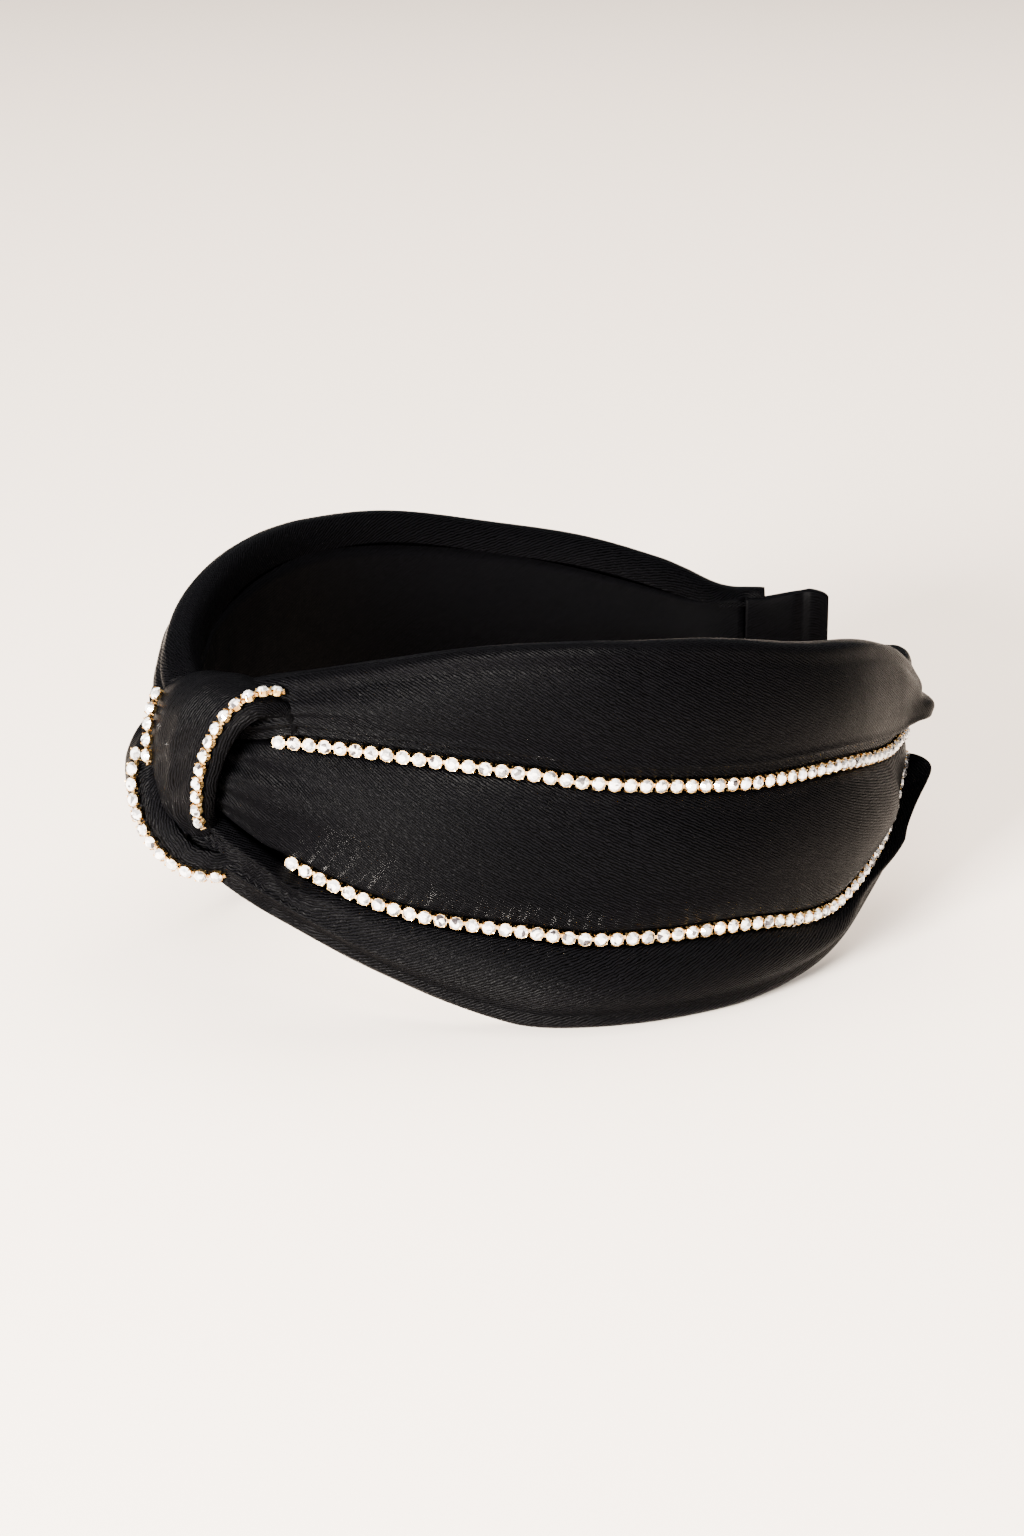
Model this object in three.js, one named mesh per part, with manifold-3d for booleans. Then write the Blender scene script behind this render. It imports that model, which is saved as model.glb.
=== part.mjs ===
// A knotted headband: two padded satin arms, a turban knot at the front, and rows of
// round stones in metal cups sewn into the seams. Millimetres, +Z up. It lies on its lower
// edges, the knot faces -Y, the open ends face +Y and the right arm is on +X.
import * as THREE from "three";
import * as BufferGeometryUtils from "three/addons/utils/BufferGeometryUtils.js";
import Module from "manifold-3d";

const wasm = await Module();
wasm.setup();

// Driving dimensions
const armLength = 194; // along one arm, from the middle of the knot to the tip
const armHeight = 71; // the widest place of an arm, lower edge to upper edge
const paddingDepth = 4.3; // from the seams in to the springy band
const panelCrown = 3.2; // how far a padded panel bulges between its seams
const seamDepth = 1.4; // how far the seams lie behind the trimmed surface
const bandThickness = 2.4; // springy band with its satin cover
const bandEdge = 6; // the padded roll above and below the band
const bandEdgeAtTip = 3.4; // the same roll where an arm runs into its tab
const lowerEdgeAtTip = 7; // and below the tab, where the cloth hangs further down
const tabLength = 17; // the bare satin-wrapped end
const tabThickness = 3.4;
const tabHeight = 22;
const tabBottom = 26; // height of a tab's lower edge above the table
const panelLap = 4; // how far the panels reach over the start of a tab
const panelRounding = 10; // how far before its end a full panel starts to round off
const frontGap = 9; // between the two arms' panels, hidden under the knot
const knotSwell = 2.2; // how far the arms' gathered cloth bulges out where it runs under the knot
const knotSwellEnd = 26; // where that swelling ends, along an arm from the middle of the knot
const clearance = 0.3; // between neighbouring pieces
const chainWidth = 2.6; // across one cup with its stone
const chainPitch = 2.8; // from one stone to the next
const chainStand = 0.4; // how far a chain's middle lies outside the trimmed surface
const knotWidth = 44; // the whole knot, side to side
const knotDepth = 14; // how far the knot stands out in front of the arms
const knotHeight = 38; // lower end of the knot to its top
const knotBottom = 25; // height of the knot's lower end above the table
const wrapThickness = 6.5; // of the knot's padded strips, in the middle
const hemThickness = 2.2; // of the same strips at their edges
const armSteps = 24; // sections along an arm
const strapSteps = 16; // sections along a knot strip
const strapColumns = 8; // faces across a knot strip
const strandSpans = 40; // places that a strand's curve runs through

// One row for each section of an arm, from the knot (share 0) to the tip (share 1).
// turnR and turnL: which way the right and left arms head, in degrees off the knot's own line.
// top, bottom: the arm's edges, as shares of armHeight.
// upper, lower: the seams, as shares of the way from the lower edge to the upper one.
// full: padding and crown as a share of the full ones.
const armTable = [
  { share: 0.00, turnR: 0, turnL: 0, top: 0.8, bottom: 0.4, upper: 0.76, lower: 0.5, full: 0.75 },
  { share: 0.10, turnR: 44, turnL: 27, top: 0.88, bottom: 0.25, upper: 0.742, lower: 0.29, full: 0.85 },
  { share: 0.20, turnR: 45, turnL: 44, top: 0.94, bottom: 0.13, upper: 0.716, lower: 0.233, full: 1 },
  { share: 0.33, turnR: 59, turnL: 61, top: 0.99, bottom: 0.01, upper: 0.68, lower: 0.262, full: 1 },
  { share: 0.40, turnR: 69, turnL: 70, top: 1.0, bottom: 0.0, upper: 0.645, lower: 0.24, full: 1 },
  { share: 0.55, turnR: 95, turnL: 92, top: 0.955, bottom: 0.0, upper: 0.622, lower: 0.232, full: 1 },
  { share: 0.70, turnR: 117, turnL: 109, top: 0.875, bottom: 0.055, upper: 0.604, lower: 0.145, full: 1 },
  { share: 0.85, turnR: 131, turnL: 119, top: 0.76, bottom: 0.2, upper: 0.5, lower: 0.15, full: 1.25 },
  { share: 0.93, turnR: 139, turnL: 121, top: 0.69, bottom: 0.32, upper: 0.42, lower: 0.27, full: 2.2 },
  { share: 1.00, turnR: 143, turnL: 122, top: 0.68, bottom: 0.36, upper: 0.42, lower: 0.3, full: 2.2 },
];

// Soft folds in the panels of both arms: share is the place along the arm, across the place from
// a panel's lower seam to its upper one, reach and spread the fold's half sizes in those two
// shares, and rise its height as a share of panelCrown, below zero for a dent.
const foldTable = [
  { panel: "upper", share: 0.12, across: 0.30, reach: 0.07, spread: 0.18, rise: -0.35 },
  { panel: "upper", share: 0.45, across: 0.60, reach: 0.05, spread: 0.40, rise: -0.12 },
  { panel: "upper", share: 0.87, across: 0.45, reach: 0.04, spread: 0.30, rise: -0.30 },
  { panel: "upper", share: 0.915, across: 0.62, reach: 0.025, spread: 0.10, rise: -0.80 },
  { panel: "middle", share: 0.14, across: 0.22, reach: 0.06, spread: 0.18, rise: -0.45 },
  { panel: "middle", share: 0.12, across: 0.80, reach: 0.04, spread: 0.14, rise: -0.25 },
  { panel: "middle", share: 0.84, across: 0.50, reach: 0.03, spread: 0.60, rise: -0.30 },
  { panel: "lower", share: 0.15, across: 0.55, reach: 0.08, spread: 0.20, rise: -0.40 },
  { panel: "lower", share: 0.62, across: 0.50, reach: 0.04, spread: 0.50, rise: -0.15 },
  { panel: "lower", share: 0.86, across: 0.50, reach: 0.04, spread: 0.35, rise: -0.30 },
];

// The two edges of each knot strip: rx, ry and rz for the right one, lx, ly and lz for the left one.
// x is a share of half of knotWidth, y a share of knotDepth (forward is negative) and z a share of
// knotHeight, above knotBottom. crown is a share of wrapThickness: how far the strip bulges outwards
// between its edges. thick is how thick it is midway between them, as a share of wrapThickness.
const wrapTable = [
  { rx: 0.74, ry: 1.00, rz: 0.58, lx: -0.10, ly: 0.72, lz: 0.60, crown: 0.10, thick: 0.30 },
  { rx: 0.90, ry: 0.92, rz: 0.76, lx: -0.20, ly: 0.50, lz: 0.76, crown: 0.30, thick: 0.30 },
  { rx: 1.00, ry: 0.70, rz: 0.87, lx: -0.26, ly: 0.20, lz: 0.83, crown: 0.60, thick: 0.35 },
  { rx: 1.00, ry: 0.38, rz: 0.89, lx: -0.27, ly: -0.04, lz: 0.81, crown: 0.72, thick: 0.50 },
  { rx: 0.93, ry: 0.10, rz: 0.83, lx: -0.24, ly: -0.20, lz: 0.73, crown: 0.66, thick: 0.60 },
  { rx: 0.82, ry: -0.08, rz: 0.70, lx: -0.19, ly: -0.30, lz: 0.62, crown: 0.55, thick: 0.70 },
  { rx: 0.72, ry: -0.18, rz: 0.53, lx: -0.12, ly: -0.36, lz: 0.49, crown: 0.45, thick: 0.60 },
  { rx: 0.62, ry: -0.16, rz: 0.37, lx: -0.02, ly: -0.36, lz: 0.35, crown: 0.35, thick: 0.50 },
  { rx: 0.50, ry: 0.02, rz: 0.24, lx: 0.16, ly: -0.22, lz: 0.20, crown: 0.20, thick: 0.40 },
];
const underTable = [
  { rx: -0.16, ry: 0.10, rz: 0.68, lx: -0.56, ly: 0.62, lz: 0.70, crown: 0.25, thick: 0.30 },
  { rx: -0.15, ry: -0.16, rz: 0.56, lx: -0.74, ly: 0.26, lz: 0.60, crown: 0.60, thick: 0.50 },
  { rx: -0.02, ry: -0.36, rz: 0.41, lx: -0.80, ly: 0.02, lz: 0.45, crown: 0.75, thick: 0.70 },
  { rx: 0.16, ry: -0.42, rz: 0.27, lx: -0.60, ly: -0.10, lz: 0.27, crown: 0.70, thick: 0.70 },
  { rx: 0.34, ry: -0.32, rz: 0.16, lx: -0.30, ly: -0.10, lz: 0.11, crown: 0.55, thick: 0.60 },
  { rx: 0.50, ry: -0.10, rz: 0.11, lx: 0.00, ly: 0.06, lz: 0.01, crown: 0.38, thick: 0.45 },
  { rx: 0.62, ry: 0.30, rz: 0.10, lx: 0.30, ly: 0.48, lz: -0.02, crown: 0.20, thick: 0.30 },
];

const satin = { color: 0x0b0b0c, roughness: 0.42, metalness: 0 };
const cover = { color: 0x09090a, roughness: 0.5, metalness: 0 };
const gilt = { color: 0xd8b878, roughness: 0.25, metalness: 1 };

// A smooth value from one column of a table at any share from 0 to 1.
function tableValue(table, column, share) {
  const last = table.length - 1;
  const shares = table.map((row, i) => (row.share === undefined ? i / last : row.share));
  let k = 0;
  while (k < last - 1 && share > shares[k + 1]) {
    k += 1;
  }
  const value = (i) => table[Math.min(Math.max(i, 0), last)][column];
  const place = (i) => shares[Math.min(Math.max(i, 0), last)];
  const slope = (i) => {
    const run = place(i + 1) - place(i - 1);
    return (value(i + 1) - value(i - 1)) / run;
  };
  const span = shares[k + 1] - shares[k];
  const t = THREE.MathUtils.clamp((share - shares[k]) / span, 0, 1);
  const rise = value(k + 1) - value(k);
  // a slope that would overshoot the two rows is held to them
  const held = (m) => (rise === 0 ? 0 : THREE.MathUtils.clamp((m * span) / rise, 0, 3) * rise);
  const m0 = held(slope(k));
  const m1 = held(slope(k + 1));
  const a = 2 * t ** 3 - 3 * t ** 2 + 1;
  const b = t ** 3 - 2 * t ** 2 + t;
  return a * value(k) + b * m0 + (1 - a) * value(k + 1) + (t ** 3 - t ** 2) * m1;
}

// The line of an arm on the table: walked in short steps from the middle of the knot.
const walkSteps = 400;
function walkArm(side) {
  const column = side > 0 ? "turnR" : "turnL";
  const points = [{ x: 0, y: 0, angle: 0 }];
  for (let i = 1; i <= walkSteps; i += 1) {
    const angle = THREE.MathUtils.degToRad(tableValue(armTable, column, i / walkSteps));
    const before = points[i - 1];
    const step = armLength / walkSteps;
    const x = before.x + Math.cos(angle) * step;
    const y = before.y + Math.sin(angle) * step;
    points.push({ x, y, angle });
  }
  return points;
}
const armLines = { 1: walkArm(1), "-1": walkArm(-1) };

// A point of an arm: share along it, distance outwards from the trimmed surface, height.
function armPoint(side, share, outwards, height) {
  const at = THREE.MathUtils.clamp(share, 0, 1) * walkSteps;
  const i = Math.min(Math.floor(at), walkSteps - 1);
  const a = armLines[side][i];
  const b = armLines[side][i + 1];
  const t = at - i;
  const angle = a.angle + (b.angle - a.angle) * t;
  const x = a.x + (b.x - a.x) * t + Math.sin(angle) * outwards;
  const y = a.y + (b.y - a.y) * t - Math.cos(angle) * outwards;
  return new THREE.Vector3(side * x, y, height);
}

// How far an arm has run into its tab: 0 before it, 1 where the tab starts.
const tabStart = 1 - tabLength / armLength;
function tabShare(share) {
  return THREE.MathUtils.smoothstep(share, tabStart - tabLength / armLength, tabStart);
}

function armHeights(share) {
  const at = (column) => tableValue(armTable, column, share) * armHeight;
  const fullness = tableValue(armTable, "full", share);
  const top = THREE.MathUtils.lerp(at("top"), tabBottom + tabHeight + bandEdgeAtTip, tabShare(share));
  const bottom = THREE.MathUtils.lerp(at("bottom"), tabBottom - lowerEdgeAtTip, tabShare(share));
  const seam = (column) => THREE.MathUtils.lerp(bottom, top, tableValue(armTable, column, share));
  return { top, bottom, upper: seam("upper"), lower: seam("lower"), fullness };
}

// Half of the space between two panels, measured upwards: wider where the seam climbs.
const seamProbe = 0.005; // a small step along an arm, as a share of it
function seamRoom(seam, share) {
  const run = 2 * seamProbe * armLength;
  const climb = (armHeights(share + seamProbe)[seam] - armHeights(share - seamProbe)[seam]) / run;
  return (chainWidth / 2 + clearance) * Math.hypot(1, climb);
}

// The faces that close a loop of points, turned the way the loop runs.
function capFaces(outline) {
  const faces = THREE.ShapeUtils.triangulateShape(outline, []);
  return THREE.ShapeUtils.area(outline) < 0 ? faces.map(([a, b, c]) => [a, c, b]) : faces;
}

function signedVolume(points, faces) {
  const normal = new THREE.Vector3();
  const wedge = ([a, b, c]) => normal.crossVectors(points[b], points[c]).dot(points[a]) / 6;
  return faces.reduce((sum, face) => sum + wedge(face), 0);
}

// Joins a row of sections, each a loop of as many points, into one closed body.
function loft(sections, outlines) {
  const count = sections[0].length;
  const points = sections.flat();
  const faces = [];
  for (let i = 0; i < sections.length - 1; i += 1) {
    for (let j = 0; j < count; j += 1) {
      const a = i * count + j;
      const b = i * count + ((j + 1) % count);
      faces.push([a, b, b + count], [a, b + count, a + count]);
    }
  }
  const end = (sections.length - 1) * count;
  capFaces(outlines[0]).forEach(([a, b, c]) => faces.push([a, c, b]));
  capFaces(outlines[outlines.length - 1]).forEach((face) => faces.push(face.map((i) => end + i)));
  const inverted = signedVolume(points, faces) < 0;
  const index = faces.flatMap(([a, b, c]) => (inverted ? [a, c, b] : [a, b, c]));
  const geometry = new THREE.BufferGeometry();
  const positions = points.flatMap((point) => point.toArray());
  geometry.setAttribute("position", new THREE.Float32BufferAttribute(positions, 3));
  geometry.setIndex(index);
  return geometry;
}

// A section with each of its points moved outwards, by the same distance from both of its lines.
const longestMove = 1.5; // at a sharp corner, as a share of that distance
function grown(outline, distance) {
  const flat = outline.map(([outwards, height]) => new THREE.Vector2(outwards, height));
  const turn = Math.sign(THREE.ShapeUtils.area(flat));
  const lineNormal = (from, to) => {
    const line = to.clone().sub(from).normalize();
    return new THREE.Vector2(line.y, -line.x).multiplyScalar(turn);
  };
  return flat.map((point, i) => {
    const before = lineNormal(flat[(i + flat.length - 1) % flat.length], point);
    const after = lineNormal(point, flat[(i + 1) % flat.length]);
    const move = before.add(after).normalize();
    const reach = Math.min(1 / Math.max(move.dot(after), 1 / longestMove), longestMove);
    return [point.x + move.x * distance * reach, point.y + move.y * distance * reach];
  });
}

// Sweeps a section of [outwards, height] pairs along an arm, through the given stations.
function sweepArm(stations, sectionAt, grow = 0) {
  const sections = [];
  const outlines = [];
  stations.forEach(({ side, share }) => {
    const outline = grow > 0 ? grown(sectionAt(share), grow) : sectionAt(share);
    sections.push(outline.map(([outwards, height]) => armPoint(side, share, outwards, height)));
    outlines.push(outline.map(([outwards, height]) => new THREE.Vector2(outwards, height)));
  });
  return loft(sections, outlines);
}

// Where the layers of an arm lie, outwards from the trimmed surface.
const panelBack = -paddingDepth;
const bandFront = panelBack - clearance;
const bandBack = bandFront - bandThickness;
const panelStart = frontGap / 2 / armLength;
const panelEnd = tabStart + panelLap / armLength;

// The panels and the springy band share their stations, so that the gap between them stays even.
const armShares = [];
for (let i = 0; i <= armSteps; i += 1) {
  armShares.push(THREE.MathUtils.lerp(panelStart, tabStart, i / armSteps));
}
const onSide = (side, shares) => shares.map((share) => ({ side, share }));
const panelShares = [...armShares, (tabStart + panelEnd) / 2, panelEnd];
const bandShares = [...armShares.slice(0, -1), tabStart - clearance / armLength];

// The padded rim above and below the springy band thins out towards the tab.
function rimHeight(share, up) {
  const atTip = up > 0 ? bandEdgeAtTip : lowerEdgeAtTip;
  return THREE.MathUtils.lerp(bandEdge, atTip, tabShare(share));
}

function foldRise(panel, share, across) {
  const here = foldTable.filter((fold) => fold.panel === panel);
  return here.reduce((sum, fold) => {
    const away = ((share - fold.share) / fold.reach) ** 2 + ((across - fold.across) / fold.spread) ** 2;
    return sum + fold.rise * panelCrown * Math.exp(-away);
  }, 0);
}

// The outside of a panel between two heights: pulled in at its seams, full between them.
const crownPoints = 6;
const crownSharpness = 0.65;
const leastPuff = 0.2; // the crown that is left where a panel is drawn in at its end
// a crown at most, as a share of its panel's height: a low panel cannot bulge as far as a high one
const fullestCrown = { upper: 0.6, middle: 0.25, lower: 1.2 };
function crownedSide(panel, low, high, share, fullness) {
  const points = [];
  const swell = knotSwell * (1 - THREE.MathUtils.smoothstep(share * armLength, 0, knotSwellEnd));
  const beforeRounding = THREE.MathUtils.clamp(1 - ((panelEnd - share) * armLength) / panelRounding, 0, 1);
  const room = Math.sqrt(1 - beforeRounding ** 2);
  const closing = THREE.MathUtils.lerp(panelBack + hemThickness, -seamDepth, room) + swell;
  const crown = Math.min(panelCrown * fullness, fullestCrown[panel] * Math.abs(high - low));
  for (let i = 0; i <= crownPoints; i += 1) {
    const t = i / crownPoints;
    const puff = Math.max(room, leastPuff) * Math.sin(Math.PI * t) ** crownSharpness;
    const across = panel === "lower" ? 1 - t : t;
    const bulge = (crown + foldRise(panel, share, across)) * puff;
    points.push([closing + bulge, low + (high - low) * t]);
  }
  return points;
}

function middleSection(share) {
  const { upper, lower, fullness } = armHeights(share);
  const low = lower + seamRoom("lower", share);
  const high = upper - seamRoom("upper", share);
  return [...crownedSide("middle", low, high, share, fullness), [panelBack, high], [panelBack, low]];
}

// An outer panel runs from its seam to the rim, over the rim and back to the band's edge.
// up is 1 for the upper panel and -1 for the lower one.
const rimFlat = 0.35; // share of the arm's depth that is flat at the very edge
const rimInset = 0.1; // how far the rim has turned in where its rounding has this much left:
const rimLeft = 0.4;
const roundToRim = 0.8; // the rounding's most, as a share of the rim's height
const roundToPanel = 0.6; // and as a share of the way from the seam to the edge
function edgeSection(share, up) {
  const { top, bottom, upper, lower, fullness } = armHeights(share);
  const panel = up > 0 ? "upper" : "lower";
  const seam = (up > 0 ? upper : lower) + up * seamRoom(panel, share);
  const edge = up > 0 ? top : bottom;
  const bandLimit = edge - up * (rimHeight(share, up) - clearance);
  const most = Math.min(Math.abs(edge - bandLimit) * roundToRim, Math.abs(edge - seam) * roundToPanel);
  const round = Math.min(most, panelCrown);
  const outside = crownedSide(panel, seam, edge - up * round, share, fullness);
  const last = outside[outside.length - 1][0];
  const depth = last - bandBack;
  const flat = (depth * rimFlat) / 2;
  const middle = (last + bandBack) / 2;
  const inside = bandBack;
  const rim = [
    [last - depth * rimInset, edge - up * round * rimLeft],
    [middle + flat, edge],
    [middle - flat, edge],
    [inside + depth * rimInset, edge - up * round * rimLeft],
    [inside, edge - up * round],
  ];
  return [...outside, ...rim, [inside, bandLimit], [panelBack, bandLimit], [panelBack, seam]];
}

function bandSection(share) {
  const { top, bottom } = armHeights(share);
  const low = bottom + rimHeight(share, -1);
  const high = top - rimHeight(share, 1);
  return [[bandBack, low], [bandFront, low], [bandFront, high], [bandBack, high]];
}

const tabShares = [tabStart, (tabStart + panelEnd) / 2, panelEnd];
const tabRound = [1.2, 0.6, 0.2, 0]; // distances from the tip, as shares of the tab's thickness
tabRound.forEach((distance) => tabShares.push(1 - (distance * tabThickness) / armLength));
function tabSection(share, tipRise) {
  const endRoom = ((1 - share) * armLength) / tabThickness;
  const rounding = Math.sqrt(THREE.MathUtils.clamp(endRoom, 0.1, 1));
  const corner = tabThickness / 3;
  const front = bandFront;
  const back = front - tabThickness;
  const rise = (tipRise * Math.max(share - panelEnd, 0)) / (1 - panelEnd);
  const low = tabBottom + rise + corner * (1 - rounding);
  const high = tabBottom + tabHeight + rise - corner * (1 - rounding);
  return [
    [back, low + corner], [back + corner, low], [front - corner, low], [front, low + corner],
    [front, high - corner], [front - corner, high], [back + corner, high], [back, high - corner],
  ];
}

// The springy band runs through both arms and behind the knot in one piece.
function bandGeometry(grow) {
  const left = onSide(-1, bandShares).reverse();
  const stations = [...left, { side: 1, share: 0 }, ...onSide(1, bandShares)];
  return sweepArm(stations, bandSection, grow);
}

// A padded strip between two edges given by a table, thick in the middle and thin at its hems.
function strapEdge(table, name, along) {
  const at = (column, size) => tableValue(table, `${name}${column}`, along) * size;
  return new THREE.Vector3(at("x", knotWidth / 2), at("y", knotDepth), knotBottom + at("z", knotHeight));
}

function hemSpan(table, along) {
  return strapEdge(table, "l", along).distanceTo(strapEdge(table, "r", along));
}

function strapPoint(table, along, across, lift, aside = 0) {
  const at = (column, size) => tableValue(table, column, along) * size;
  const point = strapEdge(table, "l", along).lerp(strapEdge(table, "r", along), across + aside);
  const bulge = at("crown", wrapThickness) * Math.sin(Math.PI * across) ** crownSharpness;
  return point.addScaledVector(strapNormal(table, along, across), bulge + lift);
}

const probe = 0.02; // a small step of the shares, for directions
function strapNormal(table, along, across) {
  const middle = (share) => strapEdge(table, "l", share).lerp(strapEdge(table, "r", share), across);
  const forward = middle(Math.min(along + probe, 1)).sub(middle(Math.max(along - probe, 0)));
  const sideways = strapEdge(table, "r", along).sub(strapEdge(table, "l", along));
  return forward.cross(sideways).normalize();
}

function strapGeometry(table, grow) {
  const sections = [];
  const outlines = [];
  for (let i = 0; i <= strapSteps; i += 1) {
    const along = i / strapSteps;
    const outer = [];
    const inner = [];
    const outlineOuter = [];
    const outlineInner = [];
    for (let j = 0; j <= strapColumns; j += 1) {
      const across = j / strapColumns;
      const full = Math.max(tableValue(table, "thick", along) * wrapThickness, hemThickness);
      const thick = THREE.MathUtils.lerp(hemThickness, full, Math.sin(Math.PI * across));
      const aside = (grow * (2 * across - 1)) / hemSpan(table, along);
      outer.push(strapPoint(table, along, across, grow, aside));
      inner.unshift(strapPoint(table, along, across, -thick - grow, aside));
      const swell = Math.sin(Math.PI * across);
      outlineOuter.push(new THREE.Vector2(across, 1 + swell));
      outlineInner.unshift(new THREE.Vector2(across, -swell));
    }
    sections.push([...outer, ...inner]);
    outlines.push([...outlineOuter, ...outlineInner]);
  }
  return loft(sections, outlines);
}

// Solids for cutting.
function mergedGeometry(geometry) {
  geometry.deleteAttribute("normal");
  geometry.deleteAttribute("uv");
  return BufferGeometryUtils.mergeVertices(geometry, 1e-4);
}

function toSolid(geometry) {
  const mesh = new wasm.Mesh({
    numProp: 3,
    vertProperties: new Float32Array(geometry.attributes.position.array),
    triVerts: new Uint32Array(geometry.index.array),
  });
  return new wasm.Manifold(mesh);
}

function fromSolid(solid) {
  const mesh = solid.getMesh();
  const geometry = new THREE.BufferGeometry();
  geometry.setAttribute("position", new THREE.BufferAttribute(new Float32Array(mesh.vertProperties), 3));
  geometry.setIndex(new THREE.BufferAttribute(new Uint32Array(mesh.triVerts), 1));
  return geometry;
}

// The biggest piece that a cut leaves.
function mainPiece(solid) {
  const pieces = solid.decompose();
  pieces.sort((a, b) => b.volume() - a.volume());
  return pieces[0];
}

// A cup with its stone: an eight-sided cup, and a crown of eight facets with a flat table.
const facets = 8;
const cupDepth = 1.1;
const stoneHeight = 0.8;
const tableShare = 0.5; // the stone's flat table across, as a share of its girdle
const linkWidth = 0.7;
const cupTaper = 0.7; // the cup's foot, as a share of its rim
const halfFacet = 0.5;
function cupAndStone(place, outwards, along) {
  const aside = new THREE.Vector3().crossVectors(outwards, along).normalize();
  const ahead = new THREE.Vector3().crossVectors(aside, outwards).normalize();
  const rings = [
    { lift: -cupDepth, radius: (chainWidth / 2) * cupTaper },
    { lift: 0, radius: chainWidth / 2 },
    { lift: stoneHeight, radius: (chainWidth / 2) * tableShare },
  ];
  const sections = rings.map(({ lift, radius }) => {
    const ring = [];
    for (let i = 0; i < facets; i += 1) {
      const angle = ((i + halfFacet) / facets) * Math.PI * 2;
      const point = place.clone().addScaledVector(outwards, lift);
      point.addScaledVector(ahead, Math.cos(angle) * radius);
      point.addScaledVector(aside, Math.sin(angle) * radius);
      ring.push(point);
    }
    return ring;
  });
  const outlines = rings.map(({ radius }) => {
    const ring = [];
    for (let i = 0; i < facets; i += 1) {
      const angle = ((i + halfFacet) / facets) * Math.PI * 2;
      ring.push(new THREE.Vector2(Math.cos(angle) * radius, Math.sin(angle) * radius));
    }
    return ring;
  });
  return toSolid(loft(sections, outlines));
}

function linkBar(from, to, outwards) {
  const along = to.clone().sub(from);
  const aside = new THREE.Vector3().crossVectors(outwards, along).normalize().multiplyScalar(linkWidth / 2);
  const corners = (point) => [[-1, -1], [1, -1], [1, 1], [-1, 1]].map(([across, lift]) => (
    point.clone().addScaledVector(aside, across).addScaledVector(outwards, (lift * linkWidth) / 2 - linkWidth)
  ));
  const flat = [[-1, -1], [1, -1], [1, 1], [-1, 1]].map(([x, y]) => new THREE.Vector2(x, y));
  return toSolid(loft([corners(from), corners(to)], [flat, flat]));
}

// A row of stones along the edge of a knot strip, one pitch apart.
const rowProbe = 0.002; // the step in which a row is walked, as a share of the strip's length
function stoneRow(table, across, from, to) {
  const placeAt = (share) => strapPoint(table, share, across, cupDepth + 2 * clearance);
  const places = [from];
  let last = placeAt(from);
  for (let share = from; share <= to; share += rowProbe) {
    const point = placeAt(share);
    if (point.distanceTo(last) >= chainPitch) {
      places.push(share);
      last = point;
    }
  }
  const normals = places.map((share) => strapNormal(table, share, across));
  const points = places.map(placeAt);
  const solids = points.map((point, i) => {
    const next = points[Math.min(i + 1, points.length - 1)];
    const before = points[Math.max(i - 1, 0)];
    return cupAndStone(point, normals[i], next.clone().sub(before));
  });
  for (let i = 0; i < points.length - 1; i += 1) {
    solids.push(linkBar(points[i], points[i + 1], normals[i]));
  }
  return wasm.Manifold.union(solids);
}

// A row of stones in a seam of an arm, drawn as a plain round strand.
const strandSides = 8;
const strandStep = 3; // length of a step, as a share of the strand's width
function strandGeometry(side, seam, from, to, width) {
  const points = [];
  for (let i = 0; i <= strandSpans; i += 1) {
    const share = from + ((to - from) * i) / strandSpans;
    points.push(armPoint(side, share, chainStand - seamDepth, armHeights(share)[seam]));
  }
  const curve = new THREE.CatmullRomCurve3(points);
  const circle = new THREE.Shape();
  for (let i = 0; i < strandSides; i += 1) {
    const angle = (i / strandSides) * Math.PI * 2;
    const x = (Math.cos(angle) * width) / 2;
    const y = (Math.sin(angle) * width) / 2;
    if (i === 0) {
      circle.moveTo(x, y);
    } else {
      circle.lineTo(x, y);
    }
  }
  const steps = Math.round(curve.getLength() / (strandStep * chainWidth));
  const geometry = new THREE.ExtrudeGeometry(circle, { steps, extrudePath: curve, bevelEnabled: false });
  return geometry;
}

const headband = new THREE.Group();

function addPiece(name, geometry, look) {
  const mesh = new THREE.Mesh(geometry, new THREE.MeshStandardMaterial(look));
  mesh.name = name;
  headband.add(mesh);
}

// The springy band and the wrapped ends
addPiece("inner_band", bandGeometry(0), cover);
// tipRise: how far a tab's tip climbs from its root, below zero where it falls
const sides = [{ name: "right", side: 1, tipRise: -1.5 }, { name: "left", side: -1, tipRise: 2.5 }];
const keepOut = [toSolid(bandGeometry(clearance))];
sides.forEach(({ name, side, tipRise }) => {
  const sectionAt = {
    upper_panel: (share) => edgeSection(share, 1),
    middle_panel: middleSection,
    lower_panel: (share) => edgeSection(share, -1),
  };
  Object.entries(sectionAt).forEach(([panel, section]) => {
    const sweep = (grow) => {
      const shares = [panelStart - grow / armLength, ...panelShares.slice(1)];
      return sweepArm(onSide(side, shares), section, grow);
    };
    addPiece(`${name}_${panel}`, sweep(0), satin);
    keepOut.push(toSolid(sweep(clearance)));
  });
  const tab = sweepArm(onSide(side, tabShares), (share) => tabSection(share, tipRise));
  addPiece(`${name}_end_tab`, tab, cover);
});

// The rows of stones in the arms' seams
const strandStart = 0.12;
sides.forEach(({ name, side }) => {
  ["upper", "lower"].forEach((row) => {
    const strand = (width) => strandGeometry(side, row, strandStart, panelEnd, width);
    addPiece(`${name}_${row}_chain`, strand(chainWidth), gilt);
    keepOut.push(toSolid(mergedGeometry(strand(chainWidth + 2 * clearance))));
  });
});

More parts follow.
